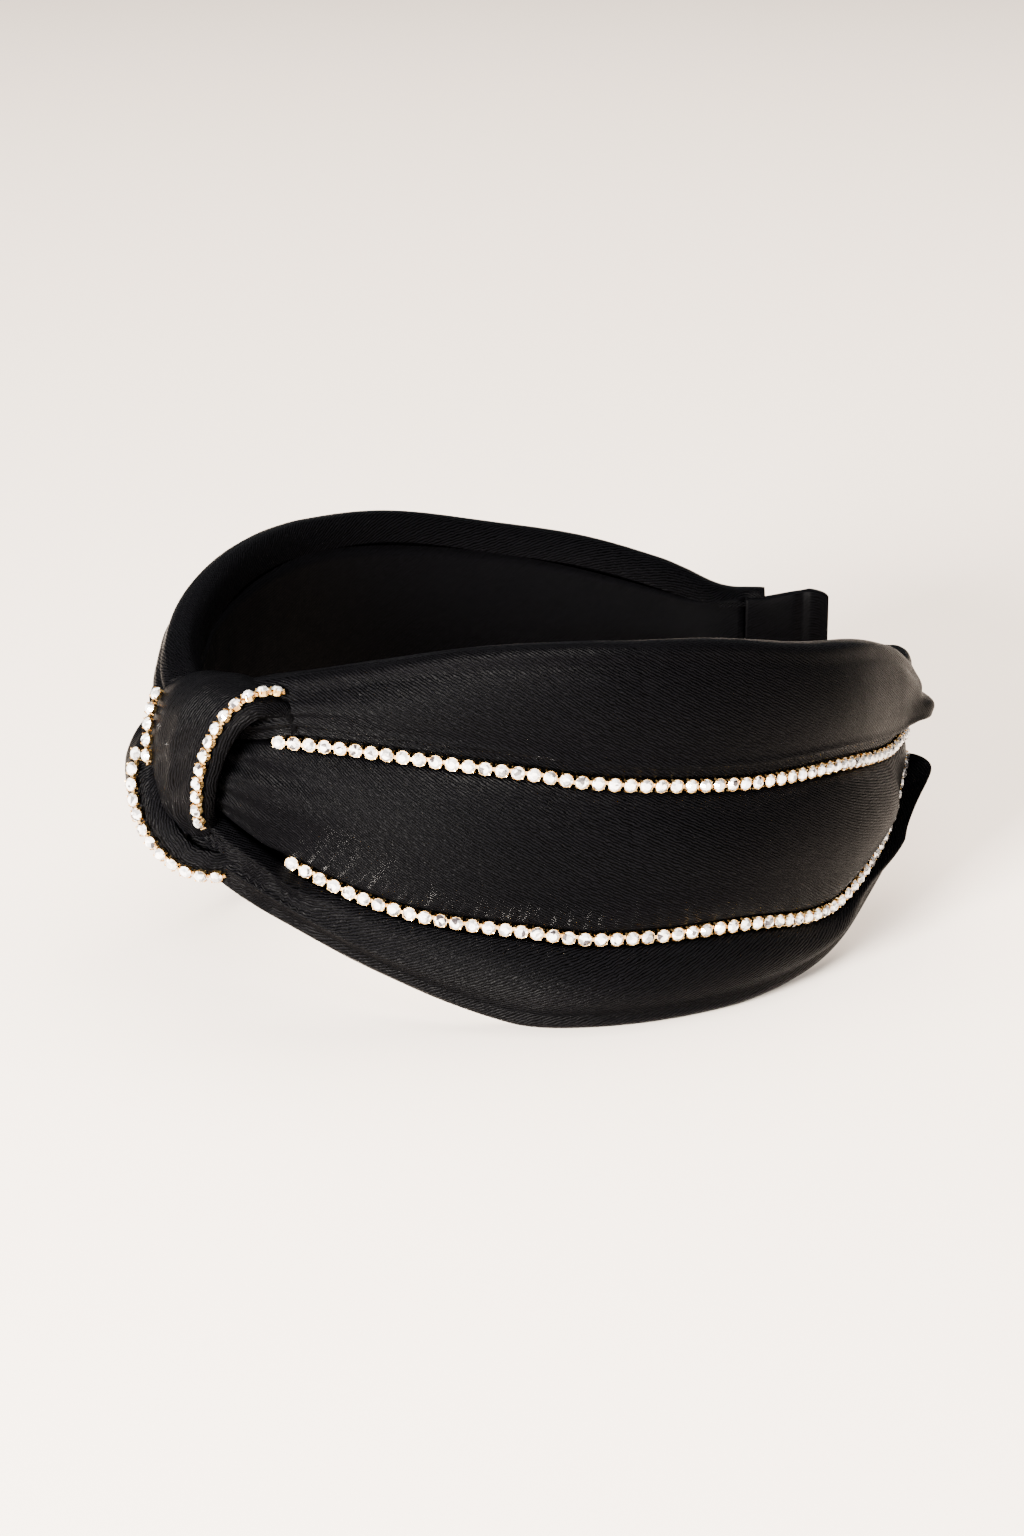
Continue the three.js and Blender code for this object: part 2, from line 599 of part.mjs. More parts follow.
// The knot: the wrap lies over the arms, and the under loop is cut clear of both.
const arms = wasm.Manifold.union(keepOut);
const wrap = mainPiece(toSolid(strapGeometry(wrapTable, 0)).subtract(arms));
const wrapKeepOut = toSolid(strapGeometry(wrapTable, clearance));
const under = mainPiece(toSolid(strapGeometry(underTable, 0)).subtract(arms).subtract(wrapKeepOut));
addPiece("knot_wrap", fromSolid(wrap), satin);
addPiece("knot_under_loop", fromSolid(under), satin);

// Rows of stones along the knot's hems, cut clear of the cloth that lies over them
const rowInset = 0.07; // from a hem to the middle of its row, as a share of the strip's width
const loopInset = 0.2; // the same on the under loop, which has a soft roll beside its row
const cloth = wasm.Manifold.union([arms, wrapKeepOut, toSolid(strapGeometry(underTable, clearance))]);
const knotRows = [
  { name: "knot_right_chain", table: wrapTable, across: 1 - rowInset, from: 0.29, to: 0.9 },
  { name: "knot_left_chain", table: wrapTable, across: rowInset, from: 0.44, to: 0.76 },
  { name: "knot_under_chain", table: underTable, across: 1 - loopInset, from: 0.26, to: 0.92 },
];
knotRows.forEach(({ name, table, across, from, to }) => {
  addPiece(name, fromSolid(mainPiece(stoneRow(table, across, from, to).subtract(cloth))), gilt);
});

// The origin is the middle of the lower side of the whole.
const box = new THREE.Box3().setFromObject(headband);
const centre = box.getCenter(new THREE.Vector3());
headband.position.set(-centre.x, -centre.y, -box.min.z);

export default headband;
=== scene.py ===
import random
from functools import lru_cache
from math import cos, exp, pi, radians, sin, sqrt

import bmesh
import bpy
from mathutils import Matrix, Vector


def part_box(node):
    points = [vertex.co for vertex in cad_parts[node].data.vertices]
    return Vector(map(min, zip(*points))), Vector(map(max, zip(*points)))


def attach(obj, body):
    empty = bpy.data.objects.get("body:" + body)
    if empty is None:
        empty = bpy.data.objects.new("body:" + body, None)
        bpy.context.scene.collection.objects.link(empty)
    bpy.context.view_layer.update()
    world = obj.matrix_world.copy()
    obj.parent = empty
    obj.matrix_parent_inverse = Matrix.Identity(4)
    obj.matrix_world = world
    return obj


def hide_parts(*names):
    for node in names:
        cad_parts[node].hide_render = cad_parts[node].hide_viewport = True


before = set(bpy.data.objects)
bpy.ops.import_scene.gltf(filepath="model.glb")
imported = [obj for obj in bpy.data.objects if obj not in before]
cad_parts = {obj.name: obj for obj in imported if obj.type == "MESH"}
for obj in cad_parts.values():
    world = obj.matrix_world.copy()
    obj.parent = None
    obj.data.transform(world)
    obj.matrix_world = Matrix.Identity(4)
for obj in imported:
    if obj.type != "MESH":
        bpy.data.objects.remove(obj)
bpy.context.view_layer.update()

print("frame loaded")

mm = 0.001

# The two arms, from the middle of the knot (share 0) to the tip (share 1): which way each heads in
# degrees, its edges as shares of the arm's height, its seams as shares from the lower edge to the upper
# one, and how full the panels are. Lengths here and below are in millimetres.
arm = {
    "length": 194, "height": 71, "padding": 4.3, "crown": 3.2, "seamDepth": 1.4,
    "bandThickness": 2.4, "gap": 0.3, "rim": 6.0, "rimAtTip": 3.4, "lowRimAtTip": 7,
    "tabLength": 17, "tabThickness": 3.4, "tabHeight": 22, "tabBottom": 26, "lap": 4, "frontGap": 9,
    "knotSwell": 2.2, "knotSwellEnd": 26, "rounding": 10, "hem": 2.2,
}
armTable = [
    dict(share=0.00, turnR=0, turnL=0, top=0.80, bottom=0.40, upper=0.76, lower=0.50, full=0.75),
    dict(share=0.10, turnR=44, turnL=27, top=0.88, bottom=0.25, upper=0.742, lower=0.29, full=0.85),
    dict(share=0.20, turnR=45, turnL=44, top=0.94, bottom=0.13, upper=0.716, lower=0.233, full=1.0),
    dict(share=0.33, turnR=59, turnL=61, top=0.99, bottom=0.01, upper=0.68, lower=0.262, full=1.0),
    dict(share=0.40, turnR=69, turnL=70, top=1.00, bottom=0.00, upper=0.645, lower=0.24, full=1.0),
    dict(share=0.55, turnR=95, turnL=92, top=0.955, bottom=0.00, upper=0.622, lower=0.232, full=1.0),
    dict(share=0.70, turnR=117, turnL=109, top=0.875, bottom=0.055, upper=0.604, lower=0.145, full=1.0),
    dict(share=0.85, turnR=131, turnL=119, top=0.76, bottom=0.20, upper=0.50, lower=0.15, full=1.25),
    dict(share=0.93, turnR=139, turnL=121, top=0.69, bottom=0.32, upper=0.42, lower=0.27, full=2.2),
    dict(share=1.00, turnR=143, turnL=122, top=0.68, bottom=0.36, upper=0.42, lower=0.30, full=2.2),
]

# The panels' main folds: place along the arm, place from a panel's lower edge to its upper one, the
# fold's half sizes in those shares, and its rise as a share of the crown (below zero for a dent).
foldTable = [
    dict(panel="upper", share=0.12, across=0.30, reach=0.07, spread=0.18, rise=-0.35),
    dict(panel="upper", share=0.45, across=0.60, reach=0.05, spread=0.40, rise=-0.12),
    dict(panel="upper", share=0.87, across=0.45, reach=0.04, spread=0.30, rise=-0.30),
    dict(panel="upper", share=0.915, across=0.62, reach=0.025, spread=0.10, rise=-0.80),
    dict(panel="middle", share=0.14, across=0.22, reach=0.06, spread=0.18, rise=-0.45),
    dict(panel="middle", share=0.12, across=0.80, reach=0.04, spread=0.14, rise=-0.25),
    dict(panel="middle", share=0.84, across=0.50, reach=0.03, spread=0.60, rise=-0.30),
    dict(panel="lower", share=0.15, across=0.55, reach=0.08, spread=0.20, rise=-0.40),
    dict(panel="lower", share=0.62, across=0.50, reach=0.04, spread=0.50, rise=-0.15),
    dict(panel="lower", share=0.86, across=0.50, reach=0.04, spread=0.35, rise=-0.30),
    # soft shapes near the tip, finer than the solid's sections
    dict(panel="upper", share=0.935, across=1.00, reach=0.05, spread=0.45, rise=-1.30),
    dict(panel="lower", share=0.76, across=0.40, reach=0.05, spread=0.60, rise=-0.55),
    dict(panel="lower", share=0.89, across=0.40, reach=0.04, spread=0.55, rise=0.40),
    dict(panel="upper", share=0.91, across=0.30, reach=0.035, spread=0.30, rise=0.50),
]


def clamp(value, low, high):
    return max(low, min(high, value))


def smoothStep(value, low, high):
    t = clamp((value - low) / (high - low), 0, 1)
    return t * t * (3 - 2 * t)


def mix(a, b, t):
    return a + (b - a) * t


# a smooth value from one column of a table, as the part's own source reads it
def tableValue(table, column, share):
    last = len(table) - 1
    shares = [row.get("share", i / last) for i, row in enumerate(table)]
    k = 0
    while k < last - 1 and share > shares[k + 1]:
        k += 1
    value = lambda i: table[int(clamp(i, 0, last))][column]
    place = lambda i: shares[int(clamp(i, 0, last))]
    slope = lambda i: (value(i + 1) - value(i - 1)) / (place(i + 1) - place(i - 1))
    span = shares[k + 1] - shares[k]
    t = clamp((share - shares[k]) / span, 0, 1)
    rise = value(k + 1) - value(k)
    held = lambda m: 0 if rise == 0 else clamp(m * span / rise, 0, 3) * rise
    a = 2 * t ** 3 - 3 * t ** 2 + 1
    b = t ** 3 - 2 * t ** 2 + t
    return a * value(k) + b * held(slope(k)) + (1 - a) * value(k + 1) + (t ** 3 - t ** 2) * held(slope(k + 1))


walkSteps = 400


# an arm's line in small steps: x, y and heading at each
def walkArm(column):
    points = [(0.0, 0.0, 0.0)]
    step = arm["length"] / walkSteps
    for i in range(1, walkSteps + 1):
        angle = radians(tableValue(armTable, column, i / walkSteps))
        x, y, _ = points[-1]
        points.append((x + cos(angle) * step, y + sin(angle) * step, angle))
    return points


armLines = {1: walkArm("turnR"), -1: walkArm("turnL")}
bandFront = -arm["padding"] - arm["gap"]
bandBack = bandFront - arm["bandThickness"]
tabStart = 1 - arm["tabLength"] / arm["length"]
panelStart = arm["frontGap"] / 2 / arm["length"]
panelEnd = tabStart + arm["lap"] / arm["length"]


# a point on the table, in mm: share along an arm, distance outwards from the trimmed surface
def armSpot(side, share, outwards):
    at = clamp(share, 0, 1) * walkSteps
    i = min(int(at), walkSteps - 1)
    a, b = armLines[side][i], armLines[side][i + 1]
    t = at - i
    angle = mix(a[2], b[2], t)
    past = (share - clamp(share, 0, 1)) * arm["length"]
    x = mix(a[0], b[0], t) + sin(angle) * outwards + cos(angle) * past
    y = mix(a[1], b[1], t) - cos(angle) * outwards + sin(angle) * past
    return side * x, y


# the knot's middle in the frame, from where the springy band lies there
def findKnotPlace():
    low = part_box("inner_band")[0]
    steps = walkSteps // 2
    spots = [armSpot(side, i / steps * tabStart, bandFront) for side in (1, -1) for i in range(steps + 1)]
    return low[0] - min(x for x, y in spots) * mm, low[1] - min(y for x, y in spots) * mm


knotX, knotY = findKnotPlace()


def toFrame(x, y, z):
    return Vector((x * mm + knotX, y * mm + knotY, z * mm))


# a point in the frame, in metres: as armSpot, at a height above the table
def armPoint(side, share, outwards, height):
    x, y = armSpot(side, share, outwards)
    return toFrame(x, y, height)


# how much of an arm's edges has passed over to those of its tab
def tabShare(share):
    return smoothStep(share, tabStart - arm["tabLength"] / arm["length"], tabStart)


# an arm's edges, seams, fullness and rims (1 for the upper rim, -1 for the lower one) at one place
@lru_cache(None)
def armHeights(share):
    t = tabShare(share)
    top = mix(tableValue(armTable, "top", share) * arm["height"],
              arm["tabBottom"] + arm["tabHeight"] + arm["rimAtTip"], t)
    bottom = mix(tableValue(armTable, "bottom", share) * arm["height"],
                 arm["tabBottom"] - arm["lowRimAtTip"], t)
    return {"top": top, "bottom": bottom,
            "upper": mix(bottom, top, tableValue(armTable, "upper", share)),
            "lower": mix(bottom, top, tableValue(armTable, "lower", share)),
            "full": tableValue(armTable, "full", share),
            "rim": {1: mix(arm["rim"], arm["rimAtTip"], t), -1: mix(arm["rim"], arm["lowRimAtTip"], t)}}


# sRGB hex to the linear colour that a shader takes
def colour(hexText, alpha=1.0):
    parts = [int(hexText[i:i + 2], 16) / 255 for i in (1, 3, 5)]
    return [p / 12.92 if p <= 0.04045 else ((p + 0.055) / 1.055) ** 2.4 for p in parts] + [alpha]


# adds one node with its settings; inputs are values or the sockets that feed them
def addNode(tree, kind, settings=None, inputs=None):
    node = tree.nodes.new(kind)
    for name, value in (settings or {}).items():
        setattr(node, name, value)
    for name, value in (inputs or {}).items():
        if isinstance(value, bpy.types.NodeSocket):
            tree.links.new(value, node.inputs[name])
        else:
            node.inputs[name].default_value = value
    return node


def newMaterial(name):
    material = bpy.data.materials.new(name)
    material.use_nodes = True
    tree = material.node_tree
    return material, tree, tree.nodes["Principled BSDF"]


# Duchess satin, polyester, black: a soft broad shine, broken up by a fine slanting grain and slow crinkles.
satin = {
    "deep": "#000000", "bright": "#040405", "brightFrom": 0.7, "brightAt": 1.0, "roughness": 0.3,
    "smoother": 0.06, "rougher": 0.12, "specular": 0.012, "sheen": 0.0003, "sheenRoughness": 0.4,
    "sheenTint": "#8d8d96", "grainMm": 0.5, "grainHeightMm": 0.13, "grainSlant": -26, "grainStretch": 1.5,
    "twillScale": 0.314, "crinkleMm": 4.5, "crinkleHeightMm": 0.12,
}


def makeSatin(name, look):
    material, tree, shader = newMaterial(name)
    uv = addNode(tree, "ShaderNodeUVMap", {"uv_map": "clothMm"}).outputs["UV"]
    slant = addNode(tree, "ShaderNodeMapping", {"vector_type": "TEXTURE"},
                    {"Vector": uv, "Rotation": (0, 0, radians(look["grainSlant"])),
                     "Scale": (look["grainStretch"], 1, 1)})
    grain = addNode(tree, "ShaderNodeTexNoise", None,
                    {"Vector": slant.outputs["Vector"], "Scale": 1 / look["grainMm"], "Detail": 3.0,
                     "Roughness": 0.6, "Distortion": 1.4})
    twill = addNode(tree, "ShaderNodeTexWave", {"wave_type": "BANDS", "bands_direction": "Y"},
                    {"Vector": slant.outputs["Vector"], "Scale": look["twillScale"] / look["grainMm"],
                     "Distortion": 4.0, "Detail": 2.0, "Detail Scale": 1.6, "Detail Roughness": 0.55})
    weave = addNode(tree, "ShaderNodeMath", {"operation": "ADD"},
                    {0: grain.outputs["Fac"], 1: twill.outputs["Fac"]})
    crinkle = addNode(tree, "ShaderNodeTexNoise", None,
                      {"Vector": uv, "Scale": 1 / look["crinkleMm"], "Detail": 3.0, "Roughness": 0.55})
    ramp = addNode(tree, "ShaderNodeValToRGB", None, {"Fac": weave.outputs["Value"]})
    ramp.color_ramp.elements[0].color = colour(look["deep"])
    ramp.color_ramp.elements[0].position = look["brightFrom"]
    ramp.color_ramp.elements[1].color = colour(look["bright"])
    ramp.color_ramp.elements[1].position = look["brightAt"]
    tree.links.new(ramp.outputs["Color"], shader.inputs["Base Color"])
    shine = addNode(tree, "ShaderNodeMapRange", None,
                    {"Value": crinkle.outputs["Fac"], "To Min": look["roughness"] - look["smoother"],
                     "To Max": look["roughness"] + look["rougher"]})
    tree.links.new(shine.outputs["Result"], shader.inputs["Roughness"])
    soft = addNode(tree, "ShaderNodeBump", None,
                   {"Height": crinkle.outputs["Fac"], "Strength": 0.5,
                    "Distance": look["crinkleHeightMm"] * mm})
    fine = addNode(tree, "ShaderNodeBump", None,
                   {"Height": weave.outputs["Value"], "Strength": 0.9, "Distance": look["grainHeightMm"] * mm,
                    "Normal": soft.outputs["Normal"]})
    tree.links.new(fine.outputs["Normal"], shader.inputs["Normal"])
    shader.inputs["Sheen Weight"].default_value = look["sheen"]
    shader.inputs["Sheen Roughness"].default_value = look["sheenRoughness"]
    shader.inputs["Sheen Tint"].default_value = colour(look["sheenTint"])
    shader.inputs["Specular IOR Level"].default_value = look["specular"]
    return material


satinMaterial = makeSatin("blackDuchessSatin", satin)
# The lining and the wrapped ends are the same cloth with its duller side out: rougher, with hardly any grain.
liningLook = {**satin, "roughness": 0.42, "specular": 0.014, "sheen": 0.0006, "grainHeightMm": 0.02}
liningMaterial = makeSatin("blackSatinLining", liningLook)


# Foil-backed cut crystal: hard bright facets, near-white in their own colour, with painted reflections: small
# dark grey, faintly pink cells in the colour stand in for the room mirrored inside the stone.
def makeCrystal():
    material, tree, shader = newMaterial("foiledCrystal")
    where = addNode(tree, "ShaderNodeTexCoord").outputs["Object"]
    paintedReflectionCells = addNode(tree, "ShaderNodeTexVoronoi", {"feature": "F1"}, {"Vector": where, "Scale": 1100.0})
    # painted reflections: the darker grey, faintly pink cells stand in for the room seen mirrored in the
    # facets
    ramp = addNode(tree, "ShaderNodeValToRGB", None, {"Fac": paintedReflectionCells.outputs["Color"]})
    ramp.color_ramp.elements[0].color = colour("#393537")
    ramp.color_ramp.elements[0].position = 0.16
    ramp.color_ramp.elements[1].color = colour("#fffdfb")
    ramp.color_ramp.elements[1].position = 0.52
    tree.links.new(ramp.outputs["Color"], shader.inputs["Base Color"])
    shader.inputs["Metallic"].default_value = 0.55
    shader.inputs["Roughness"].default_value = 0.07
    return material


# Gold-plated brass cups: warm, bright on the edges, a little scuffed.
def makeGold():
    material, tree, shader = newMaterial("goldPlatedBrass")
    where = addNode(tree, "ShaderNodeTexCoord").outputs["Object"]
    scuffs = addNode(tree, "ShaderNodeTexNoise", None, {"Vector": where, "Scale": 900.0, "Detail": 3.0})
    ramp = addNode(tree, "ShaderNodeValToRGB", None, {"Fac": scuffs.outputs["Fac"]})
    ramp.color_ramp.elements[0].color = colour("#b9853f")
    ramp.color_ramp.elements[0].position = 0.3
    ramp.color_ramp.elements[1].color = colour("#eccb8a")
    ramp.color_ramp.elements[1].position = 0.65
    tree.links.new(ramp.outputs["Color"], shader.inputs["Base Color"])
    worn = addNode(tree, "ShaderNodeMapRange", None,
                   {"Value": scuffs.outputs["Fac"], "To Min": 0.18, "To Max": 0.36})
    tree.links.new(worn.outputs["Result"], shader.inputs["Roughness"])
    shader.inputs["Metallic"].default_value = 1.0
    return material


crystalMaterial = makeCrystal()
goldMaterial = makeGold()
print("materials made")


# A sheet of cloth rolled into a closed pad: place(along, around) gives each point, and around runs
# from 0 to 1 back to where it began. Its UV map is in millimetres of cloth.
def padMesh(name, rows, columns, place, material):
    bm = bmesh.new()
    bmesh.ops.create_grid(bm, x_segments=rows, y_segments=columns, size=1)
    shares = {v: ((v.co.x + 1) / 2, (v.co.y + 1) / 2) for v in bm.verts}
    grid = {}
    for v, (along, around) in shares.items():
        i, j = round(along * rows), round(around * columns)
        grid[i, j] = v
        v.co = place(i / rows, (j % columns) / columns)
    lengthAt, widthAt = [0.0], {}
    middle = columns // 4
    for i in range(1, rows + 1):
        lengthAt.append(lengthAt[-1] + (grid[i, middle].co - grid[i - 1, middle].co).length / mm)
    for i in range(rows + 1):
        widthAt[i, 0] = 0.0
        for j in range(1, columns + 1):
            widthAt[i, j] = widthAt[i, j - 1] + (grid[i, j].co - grid[i, j - 1].co).length / mm
    layer = bm.loops.layers.uv.new("clothMm")
    index = {v: key for key, v in grid.items()}
    for face in bm.faces:
        for loop in face.loops:
            i, j = index[loop.vert]
            loop[layer].uv = (lengthAt[i], widthAt[i, j])
    bmesh.ops.remove_doubles(bm, verts=bm.verts, dist=1e-7)
    bmesh.ops.holes_fill(bm, edges=[e for e in bm.edges if e.is_boundary], sides=0)
    bmesh.ops.recalc_face_normals(bm, faces=bm.faces)
    mesh = bpy.data.meshes.new(name)
    bm.to_mesh(mesh)
    bm.free()
    mesh.materials.append(material)
    mesh.polygons.foreach_set("use_smooth", [True] * len(mesh.polygons))
    piece = bpy.data.objects.new(name, mesh)
    bpy.context.scene.collection.objects.link(piece)
    return piece


def finishPad(piece, node):
    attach(piece, "root")
    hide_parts(node)


# Padded panels of the arms: their mesh, their crown, and the room at their seams
panel = {
    "rows": 260, "outer": 34, "rimColumns": 16, "inner": 6, "back": 4, "sharpness": 0.65, "leastPuff": 0.06,
    "seamRoom": 1.5, "closedRoom": 0.3, "openFrom": 17, "openTo": 25,
    "fullest": {"upper": 0.6, "middle": 0.25, "lower": 1.2},
    # gathers that run out of the knot and into the tab: their reach, and how many waves they make across
    "gatherMm": 0.55, "gatherReach": 16, "knotWaves": 19, "knotFineWaves": 31, "knotFinePart": 0.6,
    "fanPerMm": 0.0035, "tipReach": 11, "tipPart": 0.06, "tipWaves": 13, "tipFineWaves": 24,
    "tipFinePart": 0.5,
    # slow waves along a panel, and puckers beside its sewn seams
    "waveMm": 0.35, "waveLength": 46, "waveLean": 2.2, "puckerMm": 0.16, "puckerLength": 5.2,
    "puckerReach": 0.07, "puckerDrift": 2.5, "driftPerMm": 0.11,
    # the upper seam's tape and the fold over it: From, To and At are shares of the tape's width
    "tape": 2.0, "tapeFrom": 0.85, "tapeTo": 1.1, "foldOverTape": 0.6, "foldAt": 1.25, "foldWidth": 0.7,
    "tapeLift": 0.1,
    # the rolled rim: how soon it bends, how flat it is, and its ripples near the knot
    "edgeShare": 0.93, "rimFlat": 0.55, "rimBend": 0.8, "panelBend": 0.6, "rimReach": 0.97,
    "rippleMm": 0.5, "rippleReach": 30, "rippleWaves": 7, "ripplePerMm": 0.08,
    # near the tip the upper edge drops, and the lower panel's outside laps upwards
    "endDrop": 1.9, "endLap": 3.5, "endFrom": 0.85, "endTo": 0.91,
}
# the lapel over the start of the lower stones, and the shares where it begins to fade and ends
lapel = {
    "height": 2.0, "middle": 1.5, "width": 1.1, "fadeFrom": 0.11, "fadeTo": 0.15, "ribMm": 0.22,
    "ribLength": 1.5,
}


# the room on each side of a seam: almost closed at the knot, open where the stones lie
def seamRoom(share):
    opening = smoothStep(share * arm["length"], panel["openFrom"], panel["openTo"])
    return mix(panel["closedRoom"], panel["seamRoom"], opening)


# where the shell of a panel lies at its seams, and how full it is: it rounds off towards its end
@lru_cache(None)
def shellAt(share):
    beforeRounding = clamp(1 - (panelEnd - share) * arm["length"] / arm["rounding"], 0, 1)
    room = sqrt(1 - beforeRounding ** 2)
    swell = arm["knotSwell"] * (1 - smoothStep(share * arm["length"], 0, arm["knotSwellEnd"]))
    return mix(arm["hem"] - arm["padding"], -arm["seamDepth"], room) + swell, max(room, panel["leastPuff"])


# the rise of the folds and soft shapes of foldTable
def foldRise(name, share, across):
    total = 0.0
    for fold in foldTable:
        if fold["panel"] == name and abs(share - fold["share"]) < 3 * fold["reach"]:
            along = (share - fold["share"]) / fold["reach"]
            sideways = (across - fold["across"]) / fold["spread"]
            total += fold["rise"] * arm["crown"] * exp(-along ** 2 - sideways ** 2)
    return total


# finer gathers that run out of the knot and into the tab, slow waves, and puckers beside the seams
def fineRise(name, share, across, phase):
    run = share * arm["length"]
    toEnd = (panelEnd - share) * arm["length"]
    fan = across + panel["fanPerMm"] * run * sin(phase)
    fine = panel["knotFinePart"] * sin(fan * panel["knotFineWaves"] + 2 * phase)
    atKnot = exp(-((run / panel["gatherReach"]) ** 2) / 2) * (sin(fan * panel["knotWaves"] + phase) + fine)
    fine = panel["tipFinePart"] * sin(across * panel["tipFineWaves"] - phase)
    atTip = exp(-((toEnd / panel["tipReach"]) ** 2) / 2) * (sin(across * panel["tipWaves"] + phase) + fine)
    gathers = panel["gatherMm"] * (atKnot + panel["tipPart"] * atTip)
    wave = sin(run / panel["waveLength"] * 2 * pi + phase * 3 + across * panel["waveLean"])
    fromSeam = {"upper": across, "middle": min(across, 1 - across), "lower": 1 - across}[name]
    drift = panel["puckerDrift"] * sin(run * panel["driftPerMm"] + phase)
    pucker = exp(-fromSeam / panel["puckerReach"]) * sin(run / panel["puckerLength"] * 2 * pi + drift)
    return gathers + panel["waveMm"] * wave + panel["puckerMm"] * pucker


# a panel's crown: full, but a low panel cannot bulge as far as a high one
@lru_cache(None)
def crownAt(name, share):
    h = armHeights(share)
    low, high = {"upper": (h["upper"], h["top"]), "middle": (h["lower"], h["upper"]),
                 "lower": (h["bottom"], h["lower"])}[name]
    return min(arm["crown"] * h["full"], panel["fullest"][name] * (high - low - 2 * panel["seamRoom"]))


# how far a panel's outside stands out, t of the way from its seam; across runs from its lower edge up
def panelOut(name, share, t, across, phase):
    shell, puff = shellAt(share)
    crown = crownAt(name, share) + foldRise(name, share, across)
    arch = sin(pi * t)
    fine = fineRise(name, share, across, phase) * sqrt(arch)
    return shell + puff * (crown * arch ** panel["sharpness"] + fine)


# the flat tape beside the upper seam, with the panel's fold lying over it
def overTape(out, shell, puff, fromSeam):
    onTape = 1 - smoothStep(fromSeam, panel["tape"] * panel["tapeFrom"], panel["tape"] * panel["tapeTo"])
    fold = exp(-((fromSeam - panel["tape"] * panel["foldAt"]) / panel["foldWidth"]) ** 2)
    return mix(out, min(out, shell + panel["tapeLift"]), onTape) + panel["foldOverTape"] * fold * puff


# the lapel's roll with its slanting ribs
def lapelRise(share, fromSeam):
    fade = 1 - smoothStep(share, lapel["fadeFrom"], lapel["fadeTo"])
    roll = exp(-((fromSeam - lapel["middle"]) / lapel["width"]) ** 2)
    slanted = share * arm["length"] + abs(fromSeam - lapel["middle"])
    ribs = lapel["ribMm"] * sin(slanted / lapel["ribLength"] * 2 * pi)
    return fade * roll * (lapel["height"] + ribs)


# An outer panel: up is 1 for the upper one and -1 for the lower one. Its columns run from the seam over
# the outside, round the rim, down the inside and back to the seam.
def outerPanelPlace(side, up, phase):
    columns = panel["outer"] + panel["rimColumns"] + panel["inner"] + panel["back"]
    name = "upper" if up > 0 else "lower"

    def place(along, around):
        share = mix(panelStart, panelEnd, along)
        run = share * arm["length"]
        h = armHeights(share)
        shell, puff = shellAt(share)
        seamZ = h[name] + up * seamRoom(share)
        edge = h["top"] if up > 0 else h["bottom"]
        if up > 0:
            edge += panel["waveMm"] * sin(run / panel["waveLength"] * 2 * pi + phase)
            edge -= panel["endDrop"] * smoothStep(share, panel["endFrom"], panel["endTo"])
        limit = edge - up * (h["rim"][up] - arm["gap"])
        rim = abs(edge - limit)
        bend = min(rim * panel["rimBend"], abs(edge - seamZ) * panel["panelBend"], arm["crown"])
        j = round(around * columns)
        if j <= panel["outer"]:
            t = j / panel["outer"]
            z = mix(seamZ, edge - up * bend, t)
            out = panelOut(name, share, t * panel["edgeShare"], t if up > 0 else 1 - t, phase)
            fromSeam = abs(z - seamZ)
            out = overTape(out, shell, puff, fromSeam) if up > 0 else out + lapelRise(share, fromSeam)
            if up < 0:
                z += panel["endLap"] * sin(pi * t) * smoothStep(share, panel["endFrom"], panel["endTo"])
            return armPoint(side, share, out, z)
        j -= panel["outer"]
        last = panelOut(name, share, panel["edgeShare"], 1.0 if up > 0 else 0.0, phase)
        if j <= panel["rimColumns"]:
            angle = pi * j / panel["rimColumns"]
            turns = angle * panel["rippleWaves"] + phase + run * panel["ripplePerMm"]
            ripple = panel["rippleMm"] * exp(-run / panel["rippleReach"]) * sin(turns) * sin(angle)
            middle, half = (last + bandBack) / 2, (last - bandBack) / 2 + ripple
            inwards = max(-cos(angle), 0)
            flatness = mix(panel["rimFlat"], 1, inwards ** 0.5)
            drop = mix(bend, rim * panel["rimReach"], inwards) * (1 - sin(angle) ** flatness)
            return armPoint(side, share, middle + half * cos(angle), edge - up * (drop + abs(ripple)))
        j -= panel["rimColumns"]
        if j <= panel["inner"]:
            t = j / panel["inner"]
            return armPoint(side, share, bandBack, mix(edge - up * rim * panel["rimReach"], limit, t))
        t = (j - panel["inner"]) / panel["back"]
        out = mix(bandBack, -arm["padding"], min(t * 2, 1))
        return armPoint(side, share, out, mix(limit, seamZ, max(t * 2 - 1, 0)))

    return place, columns


# The middle panel: its columns run up over the outside and back down behind it.
def middlePanelPlace(side, phase):
    outer = panel["outer"] * 2
    columns = outer + panel["back"] * 2

    def place(along, around):
        share = mix(panelStart, panelEnd, along)
        h = armHeights(share)
        low, high = h["lower"] + seamRoom(share), h["upper"] - seamRoom(share)
        j = round(around * columns)
        if j <= outer:
            t = j / outer
            return armPoint(side, share, panelOut("middle", share, t, t, phase), mix(low, high, t))
        t = (j - outer) / (columns - outer)
        z = mix(high, low, clamp((t - 0.25) * 2, 0, 1))
        depth = min(min(t, 1 - t) * 4, 1)
        return armPoint(side, share, mix(shellAt(share)[0], -arm["padding"], depth), z)

    return place, columns


for sideName, side in (("right", 1), ("left", -1)):
    for panelName, (place, columns) in (("upper", outerPanelPlace(side, 1, 0.4)),
                                        ("middle", middlePanelPlace(side, 1.9)),
                                        ("lower", outerPanelPlace(side, -1, 3.1))):
        pieceName = f"{sideName}{panelName.capitalize()}Panel"
        cushion = padMesh(pieceName, panel["rows"], columns, place, satinMaterial)
        finishPad(cushion, f"{sideName}_{panelName}_panel")
print("arm panels made")

# The springy band in its lining: a smooth inner wall with soft creases near the knot and near the tips.
# A crease's PerMm values say how fast it turns along the arm and up it.
band = {
    "rows": 260, "columns": 44, "puffMm": 0.4, "creaseMm": 0.8, "knotReach": 34, "knotAlongPerMm": 0.5,
    "knotUpPerMm": 0.11, "tipReach": 30, "tipAlongPerMm": 0.06, "tipUpPerMm": 0.42,
}


